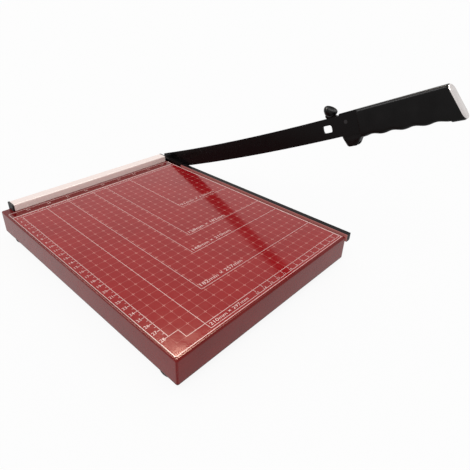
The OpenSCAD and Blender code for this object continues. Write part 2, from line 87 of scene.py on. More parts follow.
view_dir = Vector((math.sin(HEADING) * math.cos(PITCH), math.cos(HEADING) * math.cos(PITCH),
                   -math.sin(PITCH)))
lens = bpy.data.cameras.new("studio_camera")
lens.sensor_width = SENSOR
lens.lens = FOCAL
lens.shift_x = (PICTURE / 2 - AXIS[0]) / PICTURE
lens.shift_y = -(PICTURE / 2 - AXIS[1]) / PICTURE
lens.clip_start, lens.clip_end = 0.01, 100
camera = bpy.data.objects.new("studio_camera", lens)
camera.location = CAMERA_PLACE
facing = view_dir.to_track_quat("-Z", "Y")
turn = facing.to_matrix().to_4x4()
spin = math.cos(ROLL), math.sin(ROLL)
axis_x = turn.col[0].xyz * spin[0] + turn.col[1].xyz * spin[1]
axis_y = -turn.col[0].xyz * spin[1] + turn.col[1].xyz * spin[0]
for row in range(3):
    turn[row][0], turn[row][1] = axis_x[row], axis_y[row]
camera.rotation_euler = turn.to_euler()
bpy.context.scene.collection.objects.link(camera)
bpy.context.scene.camera = camera
print("lens in mm:", round(FOCAL, 2))

# %% [markdown]
# Most new pieces are grids: rows of points, each row a ring or a strip. One helper turns a
# block of points of shape (rows, columns, 3) into a mesh, closes it round the columns, and
# can close its first and last row with one flat face each.

# %% Grid helper
def grid_quads(rows, cols):
    """Quads of a tube: point (i, j) joins (i, j+1), (i+1, j+1), (i+1, j), and j wraps round."""
    i, j = np.meshgrid(np.arange(rows - 1), np.arange(cols), indexing="ij")
    k = (j + 1) % cols
    return np.stack([i * cols + j, i * cols + k, (i + 1) * cols + k, (i + 1) * cols + j],
                    axis=-1).reshape(-1, 4)


def build(name, points, faces, smooth_below=35, recalc=True):
    """A mesh object from an (n, 3) array in metres and a list of index lists."""
    mesh = bpy.data.meshes.new(name)
    mesh.from_pydata(np.asarray(points, float).reshape(-1, 3).tolist(), [],
                     [list(map(int, f)) for f in faces])
    mesh.validate()
    if recalc:
        bm = bmesh.new()
        bm.from_mesh(mesh)
        bmesh.ops.remove_doubles(bm, verts=bm.verts, dist=1e-7)
        bmesh.ops.recalc_face_normals(bm, faces=bm.faces)
        bm.to_mesh(mesh)
        bm.free()
    mesh.shade_smooth()
    mesh.set_sharp_from_angle(angle=math.radians(smooth_below))
    obj = bpy.data.objects.new(name, mesh)
    bpy.context.scene.collection.objects.link(obj)
    return obj


def skin(name, grid, caps=True, smooth_below=35):
    """A closed surface from a grid of points, rows of rings, with flat end faces."""
    rows, cols = grid.shape[:2]
    faces = grid_quads(rows, cols).tolist()
    if caps:
        faces.append(list(range(cols))[::-1])
        faces.append([(rows - 1) * cols + j for j in range(cols)])
    return build(name, grid, faces, smooth_below)


def lathe(profile, place, out, sides=64):
    """Points of a turned piece: profile rows (r, h) in mm, turned about the axis out at place."""
    out = np.asarray(out, float) / np.linalg.norm(out)
    side = np.cross(out, [0.3, 1, 0.2])
    side /= np.linalg.norm(side)
    other = np.cross(out, side)
    a = np.linspace(0, 2 * np.pi, sides, endpoint=False)
    ring = np.cos(a)[:, None] * side + np.sin(a)[:, None] * other
    r, h = np.asarray(profile, float).T
    return (np.asarray(place) + h[:, None, None] * out + r[:, None, None] * ring) * MM


def rounded(points, radius, steps=6):
    """A polyline in 2-D with each inner corner swapped for an arc of the given radius."""
    points = np.asarray(points, float)
    out = [points[0]]
    for a, b, c in zip(points[:-2], points[1:-1], points[2:]):
        p, q = (a - b) / np.linalg.norm(a - b), (c - b) / np.linalg.norm(c - b)
        half = math.acos(np.clip(p @ q, -1, 1)) / 2
        cut = min(radius / math.tan(half), 0.49 * np.linalg.norm(a - b),
                  0.49 * np.linalg.norm(c - b))
        t = np.linspace(0, 1, steps)[:, None]
        out.extend((b + p * cut) * (1 - t) ** 2 + 2 * b * t * (1 - t) + (b + q * cut) * t ** 2)
    out.append(points[-1])
    return np.array(out)


def closed_round(corners, radii, steps=6):
    """A closed loop with every corner swapped for a short curve; radii is one or one each."""
    count = len(corners)
    loop = []
    for k, radius in enumerate(np.broadcast_to(radii, count)):
        trio = [np.array(corners[(k + d) % count], float) for d in (-1, 0, 1)]
        trio[0], trio[2] = (trio[0] + trio[1]) / 2, (trio[2] + trio[1]) / 2
        loop.append(rounded(trio, radius, steps)[1:-1])
    return np.concatenate(loop)


def braced(loop, closed=True, reach=0.35):
    """A polyline with two more points just inside the ends of long edges, so flats shade flat."""
    loop = np.asarray(loop, float)
    start = loop if closed else loop[:-1]
    ahead = np.roll(loop, -1, 0) if closed else loop[1:]
    length = np.linalg.norm(ahead - start, axis=1, keepdims=True)
    step = (ahead - start) / length * reach
    long = length[:, 0] > 4 * reach
    trio = np.stack([start, start + step, ahead - step], axis=1)
    out = trio[np.stack([np.ones_like(long), long, long], axis=1)]
    return out if closed else np.vstack([out, loop[-1]])


print("helpers ready")

# %% [markdown]
# Finishes are node trees. A small drawing helper keeps them short: it adds a node, sets its
# sockets and joins what is handed to it. Patterns read Object coordinates, which are metres
# on the finished cutter, so a pattern's scale is a real size.

# %% Material helper
class Finish:
    """A material being drawn: node() adds a shader node and sets or joins its inputs."""

    def __init__(self, name):
        self.mat = bpy.data.materials.new(name)
        self.mat.use_nodes = True
        self.tree = self.mat.node_tree
        self.shader = self.tree.nodes["Principled BSDF"]
        self.coords = self.tree.nodes.new("ShaderNodeTexCoord").outputs["Object"]

    def join(self, value, socket):
        if hasattr(value, "is_output"):
            self.tree.links.new(value, socket)
        else:
            socket.default_value = value

    def node(self, kind, settings=None, **inputs):
        made = self.tree.nodes.new("ShaderNode" + kind)
        for key, value in (settings or {}).items():
            setattr(made, key, value)
        for key, value in inputs.items():
            place = int(key[1:]) if key[1:].isdigit() else key.replace("_", " ")
            self.join(value, made.inputs[place])
        return made

    def math(self, operation, a, b=0.0, c=0.0):
        made = self.node("Math", {"operation": operation}, i0=a)
        self.join(b, made.inputs[1])
        self.join(c, made.inputs[2])
        return made.outputs[0]

    def noise(self, scale, detail=3.0, stretch=None, rough=0.5):
        where = self.coords
        if stretch:
            where = self.node("Mapping", None, i0=where, Scale=stretch).outputs[0]
        return self.node("TexNoise", None, Vector=where, Scale=scale, Detail=detail,
                         Roughness=rough).outputs["Fac"]

    def spread(self, value, start, stop, low, high):
        """A value between start and stop spread out from low to high, and held beyond them."""
        made = self.node("MapRange", None, Value=value)
        for key, number in zip(("From Min", "From Max", "To Min", "To Max"),
                               (start, stop, low, high)):
            made.inputs[key].default_value = number
        return made.outputs[0]

    def ramp(self, noise, low, high):
        """Noise keeps near its middle, so its middle part is spread out from low to high."""
        return self.spread(noise, 0.3, 0.7, low, high)

    def mix(self, fac, a, b):
        made = self.node("Mix", {"data_type": "RGBA"})
        self.join(fac, made.inputs[0])
        self.join(a, made.inputs[6])
        self.join(b, made.inputs[7])
        return made.outputs[2]

    def bump(self, height, strength, distance):
        made = self.node("Bump", None, Height=height, Strength=strength, Distance=distance)
        self.join(made.outputs[0], self.shader.inputs["Normal"])

    def set(self, **inputs):
        for key, value in inputs.items():
            self.join(value, self.shader.inputs[key.replace("_", " ")])
        return self


def shade(r, g, b):
    """sRGB numbers from 0 to 255 as a linear colour with alpha."""
    c = np.array([r, g, b]) / 255
    linear = np.where(c <= 0.04045, c / 12.92, ((c + 0.055) / 1.055) ** 2.4)
    return (*[float(v) for v in linear], 1.0)


print("deep red in linear light:", [round(v, 4) for v in shade(140, 10, 25)[:3]])

# %% [markdown]
# The bed's paint is a deep red gloss enamel sprayed on steel. Sprayed gloss is never quite
# flat: it has a faint orange-peel ripple a few millimetres long, and small changes of tone.
# The sides are darker in their last millimetre, just above the folded rim under them.
# The black gloss of the arm and its block is the same finish with weaker reflections.

# %% Painted metals
WARM = (1.0, 0.66, 0.56, 1.0)  # tint of reflections in the gloss finishes


def enamel(name, colour, dark, rough=0.16, peel=0.00002, rim=None, shine=0.24):
    """Gloss enamel: two tones by noise, an orange-peel bump and an optional dark rim."""
    f = Finish(name)
    tone = f.mix(f.ramp(f.noise(35), 0.0, 1.0), colour, dark)
    if rim is not None:
        z = f.node("SeparateXYZ", None, i0=f.coords).outputs[2]
        # darker towards the foot of the sides
        low = f.spread(z, rim + 0.0004, rim + 0.0016, 1.0, 0.0)
        tone = f.mix(low, tone, shade(26, 8, 10))
    f.bump(f.noise(260, 2.0), 0.25, peel)
    f.set(Base_Color=tone, Roughness=f.ramp(f.noise(90), rough, rough + 0.05))
    f.set(Specular_IOR_Level=shine, Specular_Tint=WARM)
    return f.mat


TRAY_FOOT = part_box("base_shell")[0][2]
tray_paint = enamel("tray_enamel", shade(112, 15, 18), shade(102, 13, 16), 0.24, rim=TRAY_FOOT)
under_paint = enamel("underside_enamel", shade(92, 16, 20), shade(74, 13, 17), rough=0.35)
arm_black = enamel("arm_black_gloss", shade(12, 9, 10), shade(9, 7, 8), rough=0.24, shine=0.1)
print("tray foot at mm:", round(TRAY_FOOT / MM, 2))

# %% [markdown]
# Bare metals here are of three kinds: ground steel with scratches along its length, zinc
# plate with a cloudy bloom, and drawn aluminium, which shows fine straight lines along the
# rail. Stretching a noise pattern along one axis gives such lines. The rail's anodised skin
# is so matt and pale that it's drawn as a non-metal.

# %% Metals
def drawn_metal(name, light, dark, stretch, rough, metal=1.0, scale=400, depth=0.00001):
    """Metal with lines along one axis: noise squeezed along it drives tone, sheen and bump."""
    f = Finish(name)
    lines = f.noise(scale, 4.0, stretch, 0.6)
    cloud = f.noise(45, 2.0)
    tone = f.mix(f.ramp(lines, 0.0, 1.0), light, dark)
    tone = f.mix(f.math("MULTIPLY", cloud, 0.25), tone, dark)
    f.bump(lines, 0.3, depth)
    f.set(Base_Color=tone, Metallic=metal, Roughness=f.ramp(lines, rough - 0.05, rough + 0.08))
    return f.mat


ALONG_X, ALONG_Y, EVEN = (0.02, 1, 1), (1, 0.02, 1), (1, 1, 1)
rail_alloy = drawn_metal("rail_alloy", shade(253, 236, 230), shade(247, 228, 221), ALONG_X, 0.4,
                         metal=0.0)
zinc = drawn_metal("zinc_plate", shade(205, 207, 208), shade(176, 180, 184), EVEN, 0.3,
                   scale=150)
bright_steel = drawn_metal("turned_steel", shade(190, 190, 192), shade(150, 150, 153), EVEN, 0.25)
spring_wire = drawn_metal("spring_wire", shade(150, 150, 154), shade(105, 105, 110), EVEN, 0.3)
black_oxide = drawn_metal("black_oxide", shade(26, 26, 28), shade(16, 16, 17), EVEN, 0.42,
                          metal=0.3)
cap_silver = drawn_metal("cap_silver", shade(214, 208, 205), shade(196, 190, 188), EVEN, 0.24,
                         metal=0.85, scale=120)
BAR_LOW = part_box("counter_blade")[0][0]


def bar_finish():
    """Counter blade: blackened steel; the paler strip beside the film is ground edge plus painted
    highlight.
    """
    f = Finish("bar_steel")
    x = f.node("SeparateXYZ", None, i0=f.coords).outputs[0]
    # painted highlight: the pale pink strip along the side next to the film stands in for light on
    # the ground edge
    ground = f.spread(x, BAR_LOW + 0.0008, BAR_LOW + 0.0012, 1.0, 0.0)
    lines = f.noise(400, 4.0, ALONG_Y, 0.6)
    dark = f.mix(f.ramp(lines, 0.0, 1.0), shade(30, 24, 25), shade(20, 16, 17))
    pale = f.mix(f.ramp(lines, 0.0, 1.0), shade(190, 120, 114), shade(168, 104, 99))
    f.set(Base_Color=f.mix(ground, dark, pale), Specular_IOR_Level=0.05)
    f.set(Roughness=f.ramp(lines, 0.28, 0.36))
    f.bump(lines, 0.3, 0.00001)
    return f.mat


bar_steel = bar_finish()
print("metals ready")


# %% Moulded plastics and rubber
def moulded(name, colour, rough, grain, shine=0.5, depth=0.00002):
    """Moulded plastic or rubber: even colour with a faint flow mottle and a fine surface grain."""
    f = Finish(name)
    light = tuple(min(1.0, c * 1.35 + 0.002) for c in colour[:3]) + (1.0,)
    f.set(Base_Color=f.mix(f.ramp(f.noise(60), 0.0, 1.0), colour, light))
    f.set(Roughness=f.ramp(f.noise(180), rough, rough + 0.06))
    f.bump(f.noise(grain, 2.0), 0.3, depth)
    f.set(Specular_IOR_Level=shine)
    return f.mat


grip_black = moulded("grip_black", shade(9, 8, 8), 0.26, 500, shine=0.1, depth=0.000008)
cap_black = moulded("end_cap_black", shade(20, 19, 20), 0.5, 900, shine=0.2)
rubber_black = moulded("foot_rubber", shade(9, 9, 9), 0.72, 1200, shine=0.1, depth=0.00006)
print("plastics ready")

# %% [markdown]
# ## The measuring sheet
# The top of the bed carries a printed film: a red ground, a centimetre grid with a brighter
# cross at each corner, outlines of the paper formats, centimetre rulers along the left and
# the front, and an inch scale next to the fence. The ground of the strip next to the fence is
# painted darker, as painted shade of the fence. The grid is regular, so it is drawn in the
# material: the distance to the nearest line of a regular family is a ping-pong of the
# coordinate, and comparing it with a line's half width gives a mask. The outlines and the
# figures are not regular, so they are thin pieces of ink.
#
# The rulers count millimetres left of ZERO_X, which is the outer face of the pivot block,
# and in front of ZERO_Y, which is the front of the fence.

# %% Film material
ZERO_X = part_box("pivot_block")[1][0] / MM
ZERO_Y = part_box("paper_fence")[0][1] / MM
GRID_STEP = 10.0
GRID_RIGHT, GRID_REAR = 11, 20.5
FRAME_LEFT, FRAME_FRONT, FRAME_REAR = 240, 290, 20
INCH_STRIP = 15.0
print("zero of the rulers at mm:", round(ZERO_X, 2), round(ZERO_Y, 2))


def film_finish():
    """Gloss film: red ground, faint grid lines and a brighter cross at each corner."""
    f = Finish("printed_film")
    split = f.node("SeparateXYZ", None, i0=f.coords)
    across = f.math("SUBTRACT", ZERO_X * MM, split.outputs[0])
    along = f.math("SUBTRACT", ZERO_Y * MM, split.outputs[1])

    def to_line(value):
        return f.math("PINGPONG", value, GRID_STEP * MM / 2)

    def below(value, limit, soft):
        return f.spread(value, (limit - soft) * MM, (limit + soft) * MM, 1.0, 0.0)

    dx, dy = to_line(across), to_line(along)
    thin, arm_width, arm_length = (0.16, 0.05), (0.3, 0.08), (1.6, 0.2)
    line = f.math("MAXIMUM", below(dx, *thin), below(dy, *thin))
    arm_a = f.math("MULTIPLY", below(dx, *arm_width), below(dy, *arm_length))
    arm_b = f.math("MULTIPLY", below(dy, *arm_width), below(dx, *arm_length))
    cross = f.math("MAXIMUM", arm_a, arm_b)
    inside = f.math("LESS_THAN", across, FRAME_LEFT * MM)
    for test, value, limit in (("LESS_THAN", along, FRAME_FRONT),
                               ("GREATER_THAN", along, GRID_REAR),
                               ("GREATER_THAN", across, GRID_RIGHT)):
        inside = f.math("MULTIPLY", inside, f.math(test, value, limit * MM))
    ink = f.math("ADD", f.math("MULTIPLY", line, 0.30), f.math("MULTIPLY", cross, 0.5))
    ink = f.math("MULTIPLY", f.math("MINIMUM", ink, 0.7), inside)
    ground = f.mix(f.ramp(f.noise(22), 0.0, 1.0), shade(158, 14, 22), shade(149, 11, 20))
    # painted shade: the strip next to the fence gets a darker ground in place of the fence's shade
    ground = f.mix(f.math("LESS_THAN", along, INCH_STRIP * MM), ground, shade(112, 9, 15))
    f.set(Base_Color=f.mix(ink, ground, shade(230, 160, 150)))
    f.set(Roughness=f.ramp(f.noise(120), 0.10, 0.14))
    f.bump(f.noise(70, 1.0), 0.08, 0.00002)
    f.set(Specular_IOR_Level=0.4, Specular_Tint=WARM)
    return f.mat


film_mat = film_finish()


def ink_finish():
    """Pale screen-print ink, a little uneven where it is thin."""
    f = Finish("pale_ink")
    tone = f.mix(f.ramp(f.noise(300), 0.0, 1.0), shade(244, 214, 208), shade(226, 180, 174))
    f.set(Base_Color=tone)
    f.set(Roughness=f.ramp(f.noise(120), 0.2, 0.26), Specular_IOR_Level=0.4)
    return f.mat


ink_mat = ink_finish()

# %% [markdown]
# Ink lines are flat strips. Each is given by its two ends on the rulers and a width. All
# strips are worked out together as one array and lie three hundredths of a millimetre above
# the film, so that they never share a plane with it.

# %% Format outlines and ruler frames
INK_LIFT = 0.03
HAIR, FINE, EDGE, FRAME_EDGE, REAR_EDGE, BOLD, BAR_EDGE = 0.35, 0.45, 0.55, 0.6, 0.7, 1.3, 1.4
FORMATS = ((91, 128), (128, 182), (148, 210), (182, 257), (210, 297))
BORDER_LEFT, BORDER_FRONT, BORDER_REAR = 249.4, 299.6, 3.5
INCH, LAST_INCH, LAST_FRONT, LAST_LEFT = 25.4, 9, 15, 28
TICK, HALF_TICK, REAR_TICK, INCH_TICK = 3.2, 2, 3.5, (4.2, 9.5)
BAR_SIDE = ZERO_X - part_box("base_shell")[1][0] / MM + 3.4
BROAD = FORMATS[-1][0]
NOTCH_LEFT, NOTCH_FRONT = FRAME_LEFT - 10, FRAME_FRONT - 10

strips = []
for reach, length in FORMATS:
    strips.append((reach, INCH_STRIP, reach, length, FINE))
    strips.append((BAR_SIDE, length, reach, length, FINE))
strips += [
    (FRAME_LEFT, FRAME_REAR, FRAME_LEFT, NOTCH_FRONT, FINE),
    (FRAME_LEFT, NOTCH_FRONT, NOTCH_LEFT, NOTCH_FRONT, FINE),
    (NOTCH_LEFT, NOTCH_FRONT, NOTCH_LEFT, FRAME_FRONT, FINE),
    (NOTCH_LEFT, FRAME_FRONT, BROAD, FRAME_FRONT, FINE),
    (BAR_SIDE, FRAME_FRONT, BROAD, FRAME_FRONT, FINE),
    (BORDER_LEFT, BORDER_REAR, BORDER_LEFT, BORDER_FRONT, EDGE),
    (BORDER_LEFT, BORDER_FRONT, BAR_SIDE, BORDER_FRONT, EDGE),
    (BAR_SIDE, BORDER_REAR, BAR_SIDE, BORDER_FRONT, BAR_EDGE),
    (BORDER_LEFT, BORDER_REAR, BAR_SIDE, BORDER_REAR, REAR_EDGE),
    (BORDER_LEFT, INCH_STRIP, BAR_SIDE, INCH_STRIP, BOLD),
    (FRAME_LEFT, FRAME_REAR, BAR_SIDE, FRAME_REAR, FRAME_EDGE),
]
for cm in range(2, LAST_LEFT + 1):
    strips.append((FRAME_LEFT, cm * 10, FRAME_LEFT + TICK, cm * 10, FINE))
    strips.append((FRAME_LEFT, cm * 10 - 5, FRAME_LEFT + HALF_TICK, cm * 10 - 5, HAIR))
for inch in range(1, LAST_INCH + 1):
    strips.append((inch * INCH, INCH_TICK[0], inch * INCH, INCH_TICK[1], FINE))
for half_cm in range(3, 49):
    strips.append((half_cm * 5, INCH_STRIP, half_cm * 5, INCH_STRIP + REAR_TICK, HAIR))
for cm in range(2, LAST_FRONT + 1):
    strips.append((cm * 10, FRAME_FRONT, cm * 10, FRAME_FRONT + TICK, FINE))


def strip_quads(rows, lift):
    """Quads of flat strips: each end is moved half a width to both sides, square to the run."""
    a = np.asarray(rows, float)
    p, q, w = a[:, 0:2], a[:, 2:4], a[:, 4:5]
    run = (q - p) / np.linalg.norm(q - p, axis=1, keepdims=True)
    side = np.stack([-run[:, 1], run[:, 0]], axis=1) * w / 2
    ends = run * w / 2
    quad = np.stack([p - side - ends, q - side + ends, q + side + ends, p + side - ends], axis=1)
    flat = np.empty(quad.shape[:2] + (3,))
    flat[..., 0] = ZERO_X - quad[..., 0]
    flat[..., 1] = ZERO_Y - quad[..., 1]
    flat[..., 2] = lift
    return flat * MM


quads = strip_quads(strips, INK_LIFT)
lines_ink = build("ink_lines", quads.reshape(-1, 3),
                  np.arange(len(quads) * 4).reshape(-1, 4)[:, ::-1].tolist(), recalc=False)
if lines_ink.data.polygons[0].normal.z < 0:
    lines_ink.data.flip_normals()
print("ink strips:", len(quads))

# %% [markdown]
# The figures are plain ruler numbers and the sizes of the formats in millimetres. A text
# curve is turned into a mesh, then its points are moved onto the film as one array, and all
# of them end up in one piece.

# %% Figures
def figure_mesh(words, size):
    """The flat points and faces of a word in millimetres, centred on its own middle."""
    curve = bpy.data.curves.new("figure", "FONT")
    curve.body = words
    curve.size = size
    curve.align_x, curve.align_y = "CENTER", "CENTER"
    curve.resolution_u = 2
    holder = bpy.data.objects.new("figure", curve)
    bpy.context.scene.collection.objects.link(holder)
    graph = bpy.context.evaluated_depsgraph_get()
    mesh = bpy.data.meshes.new_from_object(holder.evaluated_get(graph))
    flat = np.empty(len(mesh.vertices) * 3)
    mesh.vertices.foreach_get("co", flat)
    faces = [list(p.vertices) for p in mesh.polygons]
    bpy.data.objects.remove(holder)
    bpy.data.curves.remove(curve)
    bpy.data.meshes.remove(mesh)
    return flat.reshape(-1, 3)[:, :2], faces


def lay_figure(store, words, at, size, wide=None):
    """Adds a word at a ruler place and, if wide is given, draws it out to that width."""
    flat, faces = figure_mesh(words, size)
    if wide is not None:
        flat[:, 0] *= wide / np.ptp(flat[:, 0])
    x = ZERO_X - at[0] + flat[:, 0]
    y = ZERO_Y - at[1] + flat[:, 1]
    first = sum(len(p) for p in store[0])
    store[0].append(np.stack([x, y, np.full(len(x), INK_LIFT)], axis=1) * MM)
    store[1].extend([[first + k for k in f] for f in faces])


LEFT_SIZE, FRONT_SIZE, INCH_SIZE = 4.6, 4.4, 4.2
LEFT_GAP, FRONT_GAP, INCH_SHIFT, INCH_PLACE = 5.7, 6.0, 2.4, 8.0

figures = ([], [])
for cm in range(2, LAST_LEFT + 1):
    lay_figure(figures, str(cm), (FRAME_LEFT + LEFT_GAP, cm * 10), LEFT_SIZE)
for cm in range(2, LAST_FRONT + 1):
    lay_figure(figures, str(cm), (cm * 10, FRAME_FRONT + FRONT_GAP), FRONT_SIZE)
for inch in range(1, LAST_INCH + 1):
    lay_figure(figures, str(inch), (inch * INCH - INCH_SHIFT, INCH_PLACE), INCH_SIZE)
for reach, length in FORMATS:
    largest = reach == BROAD
    low, size, wide = (FRAME_FRONT + 3.7, 4.6, 46) if largest else (length - 4.6, 6.0, 56)
    lay_figure(figures, f"{reach}mm × {length}mm", (reach - 2.5 - wide / 2, low), size, wide)
figures_ink = build("ink_figures", np.concatenate(figures[0]), figures[1], recalc=False)
if figures_ink.data.polygons[0].normal.z < 0:
    figures_ink.data.flip_normals()
for piece in (lines_ink, figures_ink):
    piece.data.materials.clear()
    piece.data.materials.append(ink_mat)
    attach(piece, "base")
print("figure faces:", len(figures[1]))

# %% [markdown]
# ## The pressed bed
# The bed is one sheet of steel folded down on four sides. Its section, from the middle of
# the top out over the fold, down the side, round the hem and back up inside, is the same
# all the way round, so the whole piece is that profile carried along a rounded rectangle.
# A fine groove at each upright corner is the seam where two folded sides meet.

# %% Pressed bed
LOW, HIGH = (np.array(b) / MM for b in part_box("base_shell"))
SHEET, FOLD, SEAM = 1.2, 1.8, 0.32
START = 14  # how far in from the edge the profile starts on the top
PER_CORNER, PER_SIDE, EASE = 9, 12, 0.4


def ring_path(inset, corner):
    """A rounded rectangle drawn in by inset: quarter arcs joined by straight runs, in order."""
    half = (HIGH[:2] - LOW[:2]) / 2
    mid = (HIGH[:2] + LOW[:2]) / 2
    r = max(corner - inset, 0.25)
    core = half - inset - r
    a = np.linspace(0, np.pi / 2, PER_CORNER)
    out = []
    for quarter, (sx, sy) in enumerate(((1, 1), (-1, 1), (-1, -1), (1, -1))):
        b = a + quarter * np.pi / 2
        arc = np.stack([sx * core[0] + r * np.cos(b), sy * core[1] + r * np.sin(b)], axis=1)
        out.append(arc)
    full = []
    for quarter in range(4):
        full.append(out[quarter])
        start, end = out[quarter][-1], out[(quarter + 1) % 4][0]
        ease = EASE / np.linalg.norm(end - start)
        t = np.linspace(ease, 1 - ease, PER_SIDE)[:, None]
        full.append(start * (1 - t) + end * t)
    return np.concatenate(full) + mid


def pressed_bed():
    """Profile (inset, z) over the fold, down the side, round the hem and up inside."""
    top, foot = HIGH[2], LOW[2]
    outer = rounded([(START, top), (0, top), (0, foot)], FOLD, 8)[:-1]
    hem = np.array([(0, foot + 0.5), (0.12, foot + 0.15), (0.45, foot), (0.75, foot),
                    (1.08, foot + 0.15), (SHEET, foot + 0.5)])
    inner = rounded([(SHEET, foot), (SHEET, top - SHEET), (START, top - SHEET)], 0.8, 5)[1:]
    profile = braced(np.concatenate([outer, hem, inner]), closed=False)
    rows = []
    for inset, z in profile:
        path = ring_path(inset, FOLD)
        if inset < 0.01 and z < top - FOLD:
            for quarter in range(4):
                k = quarter * (PER_CORNER + PER_SIDE) + PER_CORNER // 2
                path[k] *= 1 - SEAM / np.linalg.norm(path[k])
        rows.append(np.column_stack([path, np.full(len(path), z)]))
    return np.array(rows) * MM


bed = skin("pressed_bed", pressed_bed(), smooth_below=50)
bed.data.materials.append(tray_paint)
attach(bed, "base")
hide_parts("base_shell")
print("bed faces:", len(bed.data.polygons))

# %% [markdown]
# ## The fence rail
# The rail is drawn aluminium: one outline, the same along its whole length, with edges that
# the die leaves slightly round. It stands on the bed at the front and hangs over the bed's
# rear wall. The outline is an open hook, so it is given as one closed loop of points.

# %% Fence rail
RAIL_LOW, RAIL_HIGH = (np.array(b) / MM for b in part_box("paper_fence"))
WALL = 1.6


def rail():
    """A closed hook outline in (y, z), rounded at its corners and carried along X."""
    y0, y1, z0, z1 = RAIL_LOW[1], RAIL_HIGH[1], RAIL_LOW[2], RAIL_HIGH[2]
    stand = HIGH[2]
    corners = [(y0, stand), (y0, z1), (y1, z1), (y1, z0), (y1 - WALL, z0), (y1 - WALL, z1 - WALL),
               (y0 + WALL, z1 - WALL), (y0 + WALL, stand)]
    radii = [0.25, 1.5, 1.5, 0.4, 0.2, 0.5, 0.5, 0.2]
    loop = braced(closed_round(corners, radii, 7))
    stations = np.linspace(RAIL_LOW[0], RAIL_HIGH[0], 14)
    grid = np.empty((len(stations), len(loop), 3))
    grid[..., 0] = stations[:, None]
    grid[..., 1:] = loop
    return grid * MM


fence = skin("fence_rail", rail(), smooth_below=40)
fence.data.materials.append(rail_alloy)
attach(fence, "base")
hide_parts("paper_fence")
print("rail length mm:", round(RAIL_HIGH[0] - RAIL_LOW[0], 1))

# %% [markdown]
# ## Rubber feet
# Each foot is a turned rubber moulding: a slightly tapered drum with a soft shoulder, two
# shallow grip rings underneath and a deep recess for its screw. A profile of radius and
# height, turned about the upright axis, gives all of it.

# %% Feet
def foot(node):
    """A turned foot in the CAD foot's place, as wide and as high as it."""
    low, high = (np.array(b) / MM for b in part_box(node))
    mid = (low + high) / 2
    radius, height = (high[0] - low[0]) / 2, high[2] - low[2]
    base = radius - 1.2
    profile = [(2.2, 3.4), (5.6, 3.4), (6.0, 3.0), (6.0, 0.5), (6.5, 0.0), (8.2, 0.0), (8.5, 0.35),
               (8.9, 0.35), (9.2, 0.0), (11.0, 0.0), (11.3, 0.35), (11.7, 0.35), (12.0, 0.0),
               (base - 1.6, 0.0), (base - 0.6, 0.25), (base - 0.1, 0.9), (base, 1.6),
               (radius - 0.5, height - 2.2), (radius, height - 1.2), (radius - 0.1, height - 0.5),
               (radius - 0.7, height - 0.05), (radius - 2, height), (2.2, height), (2.2, 3.4)]
    grid = lathe(profile, (mid[0], mid[1], low[2]), (0, 0, 1), 72)
    made = skin("rubber_" + node, grid, caps=False, smooth_below=40)
    made.data.materials.append(rubber_black)
    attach(made, "base")
    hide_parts(node)
    return made


feet = [foot("foot_" + place) for place in ("front_left", "front_right", "rear_left", "rear_right")]
print("feet:", len(feet), "faces each:", len(feet[0].data.polygons))

# %% [markdown]
# ## The arm's own coordinates
# Everything on the arm is easiest to draw lying flat: u runs from the pivot along the blade
# and v is square to it. The arm rests raised by a fixed angle, and one function turns
# (x, u, v) into a place on the finished cutter.

# %% Arm coordinates
JOINTS = {j["name"]: j for j in frame["joints"]}
PIVOT = np.array(JOINTS["arm_swing"]["pos_m"]) / MM
RAISE = math.radians(23.5)


def on_arm(x, u, v):
    """Place of arm coordinates: turn (u, v) by the raise angle about the pivot, keep x."""
    c, s = math.cos(RAISE), math.sin(RAISE)
    x, u, v = np.broadcast_arrays(np.asarray(x, float), u, v)
    return np.stack([x, PIVOT[1] - u * c + v * s, PIVOT[2] + u * s + v * c], axis=-1) * MM


print("20 cm out on the arm at mm:", np.round(on_arm(PIVOT[0], 200, 0) / MM, 1))

# %% [markdown]
# ## The grip
# The grip is two black mouldings with the blade's tang between them. Along the arm each is
# one section, carried from the front to the leaning end: flat where it meets the other half,
# full and softly round outside, straight on top and waved for four fingers below. A section
# that is a function of an angle, and a wave that is a cosine of u, make both halves.

# %% Grip halves
GRIP_U, GRIP_L, GRIP_TOP, BELLY, GROOVE = 291.5, 104.0, 13.0, 14.2, 1.5
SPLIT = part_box("blade")[1][0] / MM
LEAN, LEAN_REACH = 0.31, 15
FINGERS, PALM, COLLAR_L, COLLAR_V = 4, 21.5, 14, 15.2
GROOVE_U = GRIP_U + PALM
PITCH_U = (GRIP_L - PALM - COLLAR_L + LEAN * 28) / FINGERS
GROOVE_END = GROOVE_U + FINGERS * PITCH_U


def grip_top(u):
    """Upper edge: straight and rising a little towards the end."""
    return GRIP_TOP + 0.034 * (u - GRIP_U)


def grip_belly(u):
    """Lower edge: flat, then four cosine grooves, then a soft step down to the collar."""
    wave = GROOVE * (1 - np.cos(2 * np.pi * (u - GROOVE_U) / PITCH_U)) / 2
    wave = np.where((u > GROOVE_U) & (u < GROOVE_END), wave, 0.0)
    step = np.clip((u - GROOVE_END) / 1.4, 0, 1)
    return -BELLY + wave - (COLLAR_V - BELLY) * step * step * (3 - 2 * step)


SOFT = 1.1
EDGE_ROWS, BODY_ROWS = 5, 150


